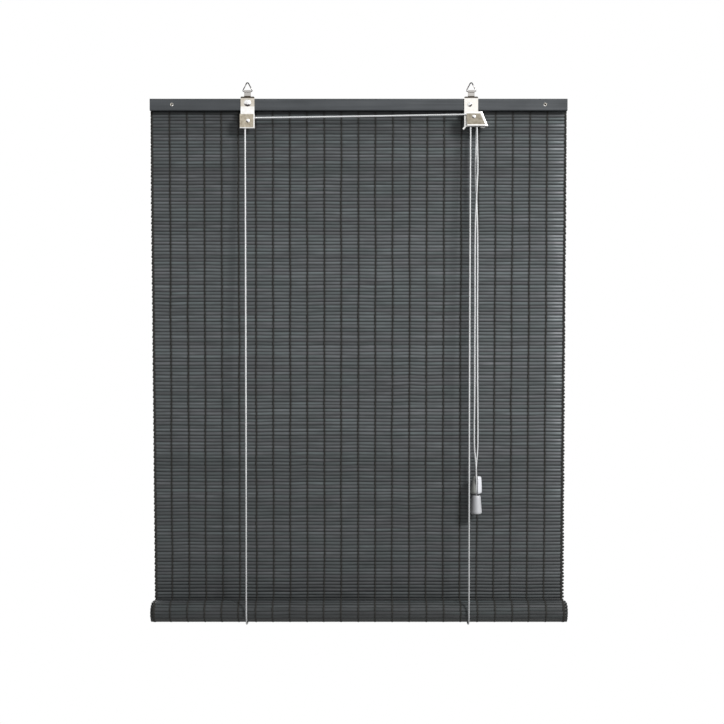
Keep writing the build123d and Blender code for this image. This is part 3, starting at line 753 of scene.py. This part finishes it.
# Colour of the painted shade in the grooves, at the stitches and slat ends, and on undersides
PAINTED_SHADE_COLOUR = (0.010, 0.011, 0.010)
THREAD_TONES = ((0.25, 0.009, 0.009, 0.008), (0.75, 0.034, 0.033, 0.030))
RAIL_TONES = ((0.3, 0.034, 0.038, 0.041), (0.5, 0.050, 0.055, 0.060), (0.72, 0.070, 0.076, 0.082))
BARE_WOOD = (0.93, 0.90, 0.84)
DOWEL_TONES = ((0.3, 0.115, 0.078, 0.045), (0.7, 0.26, 0.185, 0.11))
WARM_REFLECTION_NICKEL = ((0.3, 0.33, 0.285, 0.215), (0.7, 0.56, 0.51, 0.41))
BRIGHT_NICKEL = ((0.3, 0.86, 0.84, 0.80), (0.6, 0.97, 0.965, 0.95))
REFLECTED_BEIGE = (0.52, 0.46, 0.37)
KNUCKLE_NICKEL = (0.47, 0.45, 0.43)
CREASE_SHADE = (0.03, 0.02, 0.012)
DOME_TONES = ((0.3, 0.90, 0.895, 0.89), (0.7, 0.98, 0.98, 0.98))
DOME_PAINTED_SHADE = (0.06, 0.045, 0.045)
WIRE_TONES = ((0.36, 0.42, 0.41, 0.40), (0.5, 0.12, 0.115, 0.11), (0.72, 0.012, 0.012, 0.012))
STEEL_TONES = ((0.3, 0.25, 0.25, 0.26), (0.7, 0.52, 0.52, 0.53))
COTTON_TONES = ((0.3, 0.79, 0.80, 0.81), (0.7, 0.93, 0.94, 0.95))
COTTON_VALLEY = (0.20, 0.20, 0.205)
COTTON_LOW = (0.26, 0.265, 0.27)


def node(tree, kind, inputs=(), **settings):
    """A node with its settings, and its inputs given as values or linked sockets."""
    made = tree.nodes.new(kind)
    for key, value in settings.items():
        setattr(made, key, value)
    for socket, value in dict(inputs).items():
        if isinstance(value, bpy.types.NodeSocket):
            tree.links.new(value, made.inputs[socket])
        else:
            made.inputs[socket].default_value = value
    return made


def new_material(name, **constants):
    """A material, its tree and its shader, with the shader's constants set."""
    made = bpy.data.materials.new(name)
    made.use_nodes = True
    shader = made.node_tree.nodes["Principled BSDF"]
    for key, value in constants.items():
        shader.inputs[key.replace("_", " ")].default_value = value
    return made, made.node_tree, shader


def scaled(tree, vector, scale):
    """A vector or colour with each of its three parts multiplied."""
    return node(tree, "ShaderNodeVectorMath", {0: vector, 1: scale}, operation="MULTIPLY").outputs[0]


def noise(tree, vector, stretch, detail=2.0):
    """Cloudy noise from 0 to 1, finer along an axis that is stretched more."""
    inputs = {"Vector": scaled(tree, vector, stretch), "Scale": 1.0, "Detail": detail}
    return node(tree, "ShaderNodeTexNoise", inputs).outputs["Fac"]


def maths(tree, operation, first, second=0.5):
    """A sum of two values. ABSOLUTE and SQRT use the first one only."""
    return node(tree, "ShaderNodeMath", {0: first, 1: second}, operation=operation).outputs[0]


def ranged(tree, value, low, high, new_low=0.0, new_high=1.0):
    """A value that goes from new_low to new_high as the given one goes from low to high."""
    inputs = {"Value": value, "From Min": low, "From Max": high, "To Min": new_low, "To Max": new_high}
    return node(tree, "ShaderNodeMapRange", inputs).outputs[0]


def ramp(tree, value, stops):
    """Colours along a value, from (place, red, green, blue) stops."""
    made = node(tree, "ShaderNodeValToRGB", {"Fac": value})
    band = made.color_ramp
    while len(band.elements) < len(stops):
        band.elements.new(0.5)
    for element, (place, *colour) in zip(band.elements, stops):
        element.position = place
        element.color = (*colour, 1.0)
    return made.outputs["Color"]


def mixed(tree, share, first, second, blend="MIX"):
    """Two colours mixed; each is a socket or three numbers."""
    made = node(tree, "ShaderNodeMix", data_type="RGBA", blend_type=blend, clamp_factor=True)
    for socket, value in ((0, share), (6, first), (7, second)):
        if isinstance(value, bpy.types.NodeSocket):
            tree.links.new(value, made.inputs[socket])
        else:
            made.inputs[socket].default_value = value if socket == 0 else (*value, 1.0)
    return made.outputs[2]


def attribute(tree, name, output="Fac"):
    """What the mesh says at each of its points."""
    return node(tree, "ShaderNodeAttribute", attribute_name=name).outputs[output]


def object_place(tree):
    """The place on the piece, in its own frame."""
    return node(tree, "ShaderNodeTexCoord").outputs["Object"]


def surface_normal(tree):
    """The direction that the surface faces."""
    return node(tree, "ShaderNodeNewGeometry").outputs["Normal"]


def axis_parts(tree, vector):
    """The X, Y and Z of a vector."""
    return node(tree, "ShaderNodeSeparateXYZ", {0: vector}).outputs


def finished(made, shader, colour, roughness, relief=None, strength=0.0, depth=0.0):
    """The material with its colour, roughness and, if it has one, relief linked to its shader."""
    tree = made.node_tree
    tree.links.new(colour, shader.inputs["Base Color"])
    tree.links.new(roughness, shader.inputs["Roughness"])
    if relief is not None:
        bump = node(tree, "ShaderNodeBump", {"Strength": strength, "Distance": depth, "Height": relief})
        tree.links.new(bump.outputs[0], shader.inputs["Normal"])
    return made


TONE_WEIGHT = 0.42
STREAK_WEIGHT = 0.45
PATCH_WEIGHT = 0.6
# Painted shade at the stitches and slat ends, and in the grooves
STITCH_PAINTED_SHADE = 0.78
GROOVE_PAINTED_SHADE = 0.9
# Where a tint shows: the value at which it starts, the value at which it is full, none, and its full share
GREEN_WHERE = (0.35, 0.65, 0.0, 0.5)
RED_WHERE = (0.6, 0.4, 0.0, 0.4)
# Painted shade on faces that point down: the normal's height where it starts and is full, none, and its full
# share
UNDERSIDE_WHERE = (-0.45, -0.9, 0.0, 0.85)


def painted_bamboo():
    """Charcoal stain on bamboo slats: grain along each slat and its own tone, with painted light and shade
    carried in the tone, and painted shade in the grooves, at the stitches and on undersides.
    """
    made, tree, shader = new_material("painted_bamboo", Specular_IOR_Level=0.35)
    grain = attribute(tree, "grain", "Vector")
    streaks = noise(tree, grain, stretch=(14.0, 9.0, 1100.0), detail=4.0)
    patches = noise(tree, grain, stretch=(22.0, 17.0, 60.0), detail=3.0)
    casts = noise(tree, grain, stretch=(11.0, 31.0, 5.0), detail=1.0)
    # The tone attribute carries each slat's own tone together with painted shade down the mat, painted
    # highlight and shade on each half, and painted sheen
    tones = maths(tree, "MULTIPLY", attribute(tree, "tone"), TONE_WEIGHT)
    blend = maths(tree, "ADD", tones, maths(tree, "MULTIPLY", streaks, STREAK_WEIGHT))
    patches = maths(tree, "MULTIPLY", maths(tree, "SUBTRACT", patches, 0.5), PATCH_WEIGHT)
    colour = ramp(tree, maths(tree, "ADD", blend, patches), BAMBOO_TONES)
    colour = mixed(tree, ranged(tree, casts, *GREEN_WHERE), colour, GREEN_CAST, "MULTIPLY")
    colour = mixed(tree, ranged(tree, casts, *RED_WHERE), colour, RED_CAST, "MULTIPLY")
    # Painted shade on faces that point down, then at the stitches and slat ends and in the grooves
    underside_shade = ranged(tree, axis_parts(tree, surface_normal(tree))[2], *UNDERSIDE_WHERE)
    colour = mixed(tree, underside_shade, colour, PAINTED_SHADE_COLOUR)
    for name, share in (("stitch", STITCH_PAINTED_SHADE), ("groove", GROOVE_PAINTED_SHADE)):
        colour = mixed(tree, maths(tree, "MULTIPLY", attribute(tree, name), share), colour, PAINTED_SHADE_COLOUR)
    roughness = ranged(tree, streaks, 0.2, 0.8, 0.4, 0.62)
    return finished(made, shader, colour, roughness, relief=streaks, strength=0.35, depth=0.3 * MM)


def warp_thread():
    """Dark waxed thread with fine fibres."""
    made, tree, shader = new_material("warp_thread", Specular_IOR_Level=0.25)
    fibres = noise(tree, attribute(tree, "strand", "Vector"), stretch=(6.0, 9.0, 2.0), detail=3.0)
    colour = ramp(tree, fibres, THREAD_TONES)
    roughness = ranged(tree, fibres, 0.2, 0.8, 0.7, 0.95)
    return finished(made, shader, colour, roughness, relief=fibres, strength=0.5, depth=0.2 * MM)


HOLE_WALL = (2.45 * MM, 2.2 * MM)


def rail_paint():
    """The same charcoal stain on a planed batten, streaked, with bare wood in its screw holes."""
    made, tree, shader = new_material("rail_paint", Specular_IOR_Level=0.35)
    place = object_place(tree)
    streaks = noise(tree, place, stretch=(7.0, 420.0, 420.0), detail=4.0)
    clouds = noise(tree, place, stretch=(16.0, 40.0, 40.0), detail=3.0)
    blend = maths(tree, "ADD", maths(tree, "MULTIPLY", streaks, 0.5), maths(tree, "MULTIPLY", clouds, 0.5))
    colour = ramp(tree, blend, RAIL_TONES)
    split = axis_parts(tree, place)
    aside = maths(tree, "SUBTRACT", maths(tree, "ABSOLUTE", split[0]), HOLE_X)
    squares = [maths(tree, "MULTIPLY", part, part) for part in (aside, split[2])]
    from_hole = maths(tree, "SQRT", maths(tree, "ADD", *squares))
    colour = mixed(tree, ranged(tree, from_hole, *HOLE_WALL), colour, BARE_WOOD)
    roughness = ranged(tree, clouds, 0.3, 0.7, 0.42, 0.58)
    return finished(made, shader, colour, roughness, relief=streaks, strength=0.2, depth=0.2 * MM)


def rod_wood():
    """A plain turned dowel: fine grain along it."""
    made, tree, shader = new_material("rod_wood", Specular_IOR_Level=0.3)
    grain = noise(tree, object_place(tree), stretch=(9.0, 900.0, 900.0), detail=3.0)
    colour = ramp(tree, grain, DOWEL_TONES)
    roughness = ranged(tree, grain, 0.2, 0.8, 0.5, 0.7)
    return finished(made, shader, colour, roughness, relief=grain, strength=0.25, depth=0.2 * MM)


# Bands on a bracket: from the height where each begins to the height where it is full
PLATE_BAND = (-15.5 * MM, -13.5 * MM)
# Painted highlight on bends: the facing at which it begins and is full
BEND_TURN = (-0.97, -0.7)
# Share of the painted shade in the crease under the knuckle
CREASE_SHADE_SHARE = 0.96
KNUCKLE_BAND = (11.4 * MM, 12.6 * MM)
# Heights between which the crease's painted shade lies
CREASE_BOTTOM = (8.4 * MM, 9.6 * MM)
CREASE_TOP = (12.6 * MM, 11.6 * MM)
# Painted highlight along the bottom edge
BOTTOM_RIM = (2.2 * MM, 1.4 * MM)
# Painted beige reflection: the height over which it fades in
BEIGE_REFLECTION_BAND = 1.0 * MM


def near_plane(tree, place, slope, edge, inward):
    """1 close to the line x + slope * z = edge, falling to 0 at the distance inward from it."""
    split = axis_parts(tree, place)
    along = maths(tree, "ADD", split[0], maths(tree, "MULTIPLY", split[2], slope))
    return ranged(tree, along, edge + inward, edge + 0.6 * inward)


def nickel(name, rims, bottom_edge, beige_reflection_from, beige_reflection_share, front_reflection_tone):
    """Nickel-plated sheet: bright plating on the plate, a painted warm, matt reflection on the housing's
    front, painted highlights on rims, bends and the bottom edge, a painted beige reflection over part of the
    plate, and painted shade in the crease under the knuckle.
    """
    made, tree, shader = new_material(name, Metallic=1.0)
    place = object_place(tree)
    height = axis_parts(tree, place)[2]
    on_plate = ranged(tree, height, *PLATE_BAND)
    # Painted highlights on bends, along the bottom edge and on the rims
    on_bend = ranged(tree, axis_parts(tree, surface_normal(tree))[1], *BEND_TURN)
    on_bottom = ranged(tree, height, bottom_edge + BOTTOM_RIM[0], bottom_edge + BOTTOM_RIM[1])
    rim_highlight = maths(tree, "MAXIMUM", on_bend, on_bottom)
    for rim in rims:
        rim_highlight = maths(tree, "MAXIMUM", rim_highlight, near_plane(tree, place, *rim))
    clouds = noise(tree, place, stretch=(260.0, 260.0, 260.0), detail=4.0)
    brushed = noise(tree, place, stretch=(300.0, 300.0, 4000.0), detail=3.0)
    # Painted warm reflection on the housing's front, scaled darker on the right bracket; bright plating on
    # the plate
    front_reflection = scaled(tree, ramp(tree, clouds, WARM_REFLECTION_NICKEL), (front_reflection_tone,) * 3)
    bright = ramp(tree, clouds, BRIGHT_NICKEL)
    colour = mixed(tree, maths(tree, "MAXIMUM", on_plate, rim_highlight), front_reflection, bright)
    # Painted beige reflection over part of the plate
    beige_reflection = maths(tree, "MULTIPLY", ranged(tree, height, beige_reflection_from - BEIGE_REFLECTION_BAND, beige_reflection_from), beige_reflection_share)
    beige_reflection = maths(tree, "MULTIPLY", beige_reflection, ranged(tree, clouds, 0.3, 0.6, 0.65, 1.0))
    colour = mixed(tree, beige_reflection, colour, REFLECTED_BEIGE)
    colour = mixed(tree, ranged(tree, height, *KNUCKLE_BAND), colour, KNUCKLE_NICKEL)
    # Painted shade in the crease under the knuckle
    over_bottom, under_top = ranged(tree, height, *CREASE_BOTTOM), ranged(tree, height, *CREASE_TOP)
    crease = maths(tree, "MULTIPLY", maths(tree, "MULTIPLY", over_bottom, under_top), CREASE_SHADE_SHARE)
    colour = mixed(tree, crease, colour, CREASE_SHADE)
    roughness = ranged(tree, brushed, 0.2, 0.8, 0.26, 0.44)
    return finished(made, shader, colour, roughness, relief=brushed, strength=0.12, depth=0.05 * MM)


DOME_WHERE = (0.12, 0.42, 0.0, 0.95)


def polished_nickel(name, shade_from):
    """Polished nickel pins and screw heads: bright domes, with painted shade on the side away from the light.
    """
    made, tree, shader = new_material(name, Metallic=1.0)
    place = object_place(tree)
    mottle = noise(tree, place, stretch=(400.0, 400.0, 400.0), detail=3.0)
    sides = {0: surface_normal(tree), 1: shade_from}
    turned = node(tree, "ShaderNodeVectorMath", sides, operation="DOT_PRODUCT").outputs["Value"]
    colour = ramp(tree, mottle, DOME_TONES)
    # Painted shade on the side that faces shade_from
    colour = mixed(tree, ranged(tree, turned, *DOME_WHERE), colour, DOME_PAINTED_SHADE)
    grit = noise(tree, place, stretch=(2500.0, 2500.0, 2500.0))
    roughness = ranged(tree, mottle, 0.3, 0.7, 0.16, 0.3)
    return finished(made, shader, colour, roughness, relief=grit, strength=0.08, depth=0.05 * MM)


# Where the painted dark reflection at the top of the rings begins and is full, none, and its share
RING_TOP_WHERE = (27.5 * MM, 30.0 * MM, 0.0, 0.5)


def ring_wire():
    """The rings' plated wire: bright in short lengths, with painted dark reflections that make it nearly
    black at the top and the sides.
    """
    made, tree, shader = new_material("ring_nickel", Metallic=1.0)
    place = object_place(tree)
    mottle = noise(tree, place, stretch=(330.0, 330.0, 330.0), detail=3.0)
    at_top = ranged(tree, axis_parts(tree, place)[2], *RING_TOP_WHERE)
    # Painted dark reflections along the wire, strongest at the top
    colour = ramp(tree, maths(tree, "ADD", mottle, at_top), WIRE_TONES)
    grit = noise(tree, place, stretch=(2500.0, 2500.0, 2500.0))
    roughness = ranged(tree, mottle, 0.3, 0.7, 0.2, 0.4)
    return finished(made, shader, colour, roughness, relief=grit, strength=0.08, depth=0.05 * MM)


def steel():
    """Plain steel of nails and the lock's axle, slightly grey."""
    made, tree, shader = new_material("steel", Metallic=1.0)
    patches = noise(tree, object_place(tree), stretch=(700.0, 700.0, 700.0), detail=3.0)
    roughness = ranged(tree, patches, 0.3, 0.7, 0.3, 0.5)
    return finished(made, shader, ramp(tree, patches, STEEL_TONES), roughness)


# Share of the painted shade between the strands, from the left side to the right side
VALLEY_WHERE = (-0.12, 0.12, 0.4, 0.85)
LOW_WHERE = (-0.4, -0.7, 0.0, 0.62)


def cotton():
    """White twisted cord: painted shade between the strands, more on the right, and greyer low down."""
    made, tree, shader = new_material("cord_cotton", Specular_IOR_Level=0.2, Sheen_Weight=0.15)
    place = object_place(tree)
    split = axis_parts(tree, place)
    fibres = noise(tree, place, stretch=(3000.0, 3000.0, 1400.0))
    # Painted shade between the strands, stronger on the right
    valley_share = ranged(tree, split[0], *VALLEY_WHERE)
    valley = maths(tree, "MULTIPLY", attribute(tree, "valley"), valley_share)
    colour = mixed(tree, valley, ramp(tree, fibres, COTTON_TONES), COTTON_VALLEY)
    colour = mixed(tree, ranged(tree, split[2], *LOW_WHERE), colour, COTTON_LOW)
    roughness = ranged(tree, fibres, 0.2, 0.8, 0.75, 0.95)
    return finished(made, shader, colour, roughness, relief=fibres, strength=0.35, depth=0.1 * MM)


LEFT_TURN = (-0.75, 0.35)


def moulded_plastic(name, low, high, roughness, left_shade=1.0):
    """Moulded plastic, faintly cloudy, with a fine moulded skin and painted shade on the side that faces
    left.
    """
    made, tree, shader = new_material(name, Specular_IOR_Level=0.45)
    place = object_place(tree)
    clouds = noise(tree, place, stretch=(90.0, 90.0, 60.0))
    skin = noise(tree, place, stretch=(2600.0, 2600.0, 2600.0))
    colour = ramp(tree, clouds, ((0.3, *low), (0.7, *high)))
    # Painted shade on the side that faces left
    shade = ranged(tree, axis_parts(tree, surface_normal(tree))[0], *LEFT_TURN, left_shade, 1.0)
    colour = node(tree, "ShaderNodeVectorMath", {0: colour, "Scale": shade}, operation="SCALE").outputs[0]
    roughness_here = ranged(tree, skin, 0.3, 0.7, roughness - 0.05, roughness + 0.07)
    return finished(made, shader, colour, roughness_here, relief=skin, strength=0.1, depth=0.05 * MM)


def dress(material, *names):
    """Gives CAD nodes a material."""
    for name in names:
        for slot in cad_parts[name].material_slots:
            slot.material = material


bamboo = painted_bamboo()
for piece in mat_pieces:
    piece.data.materials.append(bamboo)
thread_look = warp_thread()
for piece in thread_pieces:
    piece.data.materials.append(thread_look)
cord_look = cotton()
for piece in cord_pieces:
    piece.data.materials.append(cord_look)
dress(rail_paint(), "head_rail", "rear_batten")
dress(rod_wood(), "bottom_rod")

# Brackets: the rims are lines x + slope * z = edge, each with how far its band of painted highlight reaches
# inward
LEFT_RIMS = ((0.0, -148.9 * MM, -1.9 * MM),)
RIGHT_RIMS = ((0.079, 150.6 * MM, 2.5 * MM), (0.485, 170.7 * MM, -5.2 * MM))
left_nickel = nickel(
    "left_nickel",
    LEFT_RIMS,
    bottom_edge=-35.4 * MM,
    beige_reflection_from=-2.5 * MM,
    beige_reflection_share=0.85,
    front_reflection_tone=1.0,
)
# The right bracket: a darker painted reflection on its housing's front and a fainter painted beige reflection
# from lower down
right_nickel = nickel(
    "right_nickel",
    RIGHT_RIMS,
    bottom_edge=-32.0 * MM,
    beige_reflection_from=-12.0 * MM,
    beige_reflection_share=0.3,
    front_reflection_tone=0.66,
)
dress(left_nickel, "left_bracket")
dress(right_nickel, "right_bracket")
dress(ring_wire(), "left_ring", "right_ring")
# Directions in which the pins' and screws' painted shade lies
PIN_SHADE = (-0.62, 0.0, -0.78)
LEFT_SCREW_SHADE = (-0.1, 0.0, -0.99)
RIGHT_SCREW_SHADE = (0.5, 0.0, -0.86)
dress(polished_nickel("pin_nickel", PIN_SHADE), "left_pulley_pin", "right_pulley_pin")
dress(polished_nickel("screw_nickel", LEFT_SCREW_SHADE), "left_bracket_screw")
dress(polished_nickel("small_screw_nickel", RIGHT_SCREW_SHADE), "right_bracket_screw")
dress(steel(), "clamp_nails", "lock_pin")
wheel_look = moulded_plastic("wheel_plastic", (0.30, 0.30, 0.29), (0.40, 0.40, 0.385), roughness=0.4)
roller_look = moulded_plastic("roller_plastic", (0.22, 0.22, 0.21), (0.34, 0.34, 0.33), roughness=0.35)
dress(wheel_look, "left_pulley_wheel", "right_pulley_wheel_rear", "right_pulley_wheel_front")
dress(roller_look, "lock_roller")

# Tassel pieces: darkest and lightest colour, roughness, and painted shade on the side that faces left
TASSEL_LOOKS = (
    (bell, "bell_plastic", (0.42, 0.425, 0.44), (0.50, 0.505, 0.525), 0.3, 0.5),
    # The left clip half is a darker copy of the same plastic: painted shade
    (clip_left, "clip_left_plastic", (0.26, 0.27, 0.255), (0.34, 0.35, 0.33), 0.35, 0.7),
    (clip_right, "clip_right_plastic", (0.58, 0.59, 0.62), (0.68, 0.69, 0.72), 0.3, 0.7),
)
for piece, *look in TASSEL_LOOKS:
    piece.data.materials.append(moulded_plastic(*look))

# Stage: a pale floor below the tassel's lowest place, white where it fades out, and soft lamps
FLOOR_Z = -1.95
FLOOR_HALF = 4.0
FLOOR_COLOUR = (0.55, 0.55, 0.55, 1.0)
FADE_REACH = (2.2, 3.6)
FADE_SHARE = (0.78, 1.0)
AMBIENT = 0.34
WHITE = (1.0, 1.0, 1.0, 1.0)
LAMP_TARGET = (0.0, 0.0, -0.36)


def seen_rays(tree):
    """1 for the rays that show the background: straight from the camera, or by way of metal or glass."""
    path = node(tree, "ShaderNodeLightPath")
    seen = maths(tree, "MAXIMUM", path.outputs["Is Camera Ray"], path.outputs["Is Glossy Ray"])
    return maths(tree, "MAXIMUM", seen, path.outputs["Is Transmission Ray"])


def pale_floor():
    """A matt pale floor that takes shadows near the blind and is seen as white far from it."""
    made, tree, shader = new_material("pale_floor", Roughness=0.8, Specular_IOR_Level=0.1)
    shader.inputs["Base Color"].default_value = FLOOR_COLOUR
    flat_place = scaled(tree, object_place(tree), (1.0, 1.0, 0.0))
    distance = node(tree, "ShaderNodeVectorMath", {0: flat_place}, operation="LENGTH").outputs["Value"]
    share = maths(tree, "MULTIPLY", ranged(tree, distance, *FADE_REACH, *FADE_SHARE), seen_rays(tree))
    white = node(tree, "ShaderNodeEmission", {"Color": WHITE, "Strength": 1.0})
    surface = node(tree, "ShaderNodeMixShader", {0: share, 1: shader.outputs[0], 2: white.outputs[0]})
    tree.links.new(surface.outputs[0], tree.nodes["Material Output"].inputs["Surface"])
    return made


def area_lamp(name, place, power, size):
    """A square soft lamp aimed at the middle of the blind."""
    lamp_data = bpy.data.lights.new(name, "AREA")
    lamp_data.energy = power
    lamp_data.size = size
    lamp = bpy.data.objects.new(name, lamp_data)
    lamp.location = place
    aim = Vector(LAMP_TARGET) - Vector(place)
    lamp.rotation_euler = aim.to_track_quat("-Z", "Y").to_euler()
    bpy.context.scene.collection.objects.link(lamp)


corners = [(x * FLOOR_HALF, y * FLOOR_HALF, FLOOR_Z) for x, y in ((-1, -1), (1, -1), (1, 1), (-1, 1))]
floor = mesh_object("floor", corners, [(0, 1, 2, 3)], smooth=False)
floor.data.materials.append(pale_floor())

world = bpy.data.worlds.new("world")
bpy.context.scene.world = world
world.use_nodes = True
background = world.node_tree.nodes["Background"]
background.inputs["Color"].default_value = WHITE
strength = ranged(world.node_tree, seen_rays(world.node_tree), 0.0, 1.0, AMBIENT, 1.0)
world.node_tree.links.new(strength, background.inputs["Strength"])

area_lamp("key_lamp", (2.2, -1.95, 1.25), power=128.0, size=0.7)
area_lamp("back_lamp", (-1.3, 1.7, 0.6), power=30.0, size=0.9)

bpy.context.scene.view_settings.view_transform = "Standard"
